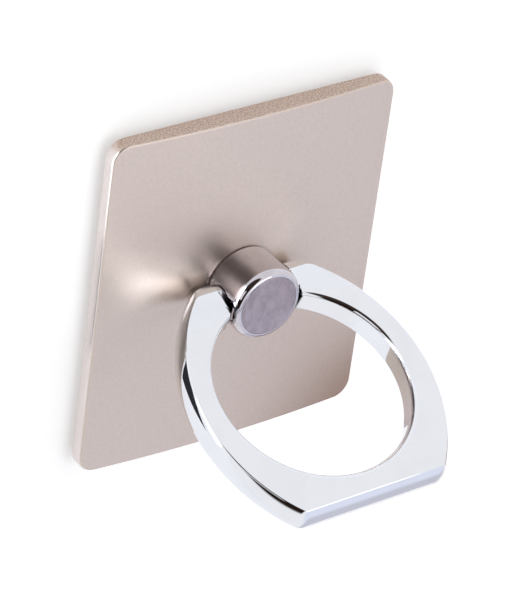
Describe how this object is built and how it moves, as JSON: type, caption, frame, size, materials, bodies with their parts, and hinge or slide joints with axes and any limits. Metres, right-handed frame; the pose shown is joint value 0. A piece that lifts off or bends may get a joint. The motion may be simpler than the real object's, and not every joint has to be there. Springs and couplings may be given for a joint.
{
  "type": "phone ring holder",
  "caption": "Stick-on phone holder: a crowned rectangular plate with an adhesive back, a swivelling post and a folding D-shaped finger ring that doubles as a stand.",
  "frame": {"origin": "centre of the adhesive pad's outer face, on the swivel axis", "axes": "+Z out of the plate along the post, +Y towards the plate's top edge, +X along its width"},
  "size_m": [0.035, 0.0404, 0.0297],
  "materials": {
    "satin_paint": "champagne satin metallic paint",
    "foam_tape": "acrylic foam tape",
    "bearing_plastic": "natural moulded",
    "plain_steel": "zinc plated",
    "dark_nickel": "polished dark nickel",
    "brushed_cap": "satin end face",
    "bright_steel": "bright turned",
    "ring_chrome": "mirror chrome"
  },
  "bodies": {
    "base": {"plate": "satin_paint", "adhesive_pad": "foam_tape", "swivel_bush": "bearing_plastic", "thrust_washer": "plain_steel", "back_cover": "plain_steel"},
    "swivel_post": {"post": "dark_nickel", "end_cap": "brushed_cap", "clamp_screw": "plain_steel", "disc_spring": "plain_steel", "hinge_bush_left": "bearing_plastic", "hinge_bush_right": "bearing_plastic", "hinge_washer_left": "bright_steel", "hinge_washer_right": "bright_steel"},
    "finger_ring": {"ring": "ring_chrome", "hinge_pin_left": "bright_steel", "hinge_pin_right": "bright_steel"}
  },
  "joints": [
    {"name": "swivel", "type": "hinge", "parent": "base", "child": "swivel_post", "pos_m": [0, 0, 0.00316], "axis": [0, 0, 1], "continuous": true},
    {"name": "ring_fold", "type": "hinge", "parent": "swivel_post", "child": "finger_ring", "pos_m": [0, 0, 0.00472], "axis": [0.9998, 0.0209, 0], "range_deg": [-114.2, 65.8]}
  ]
}
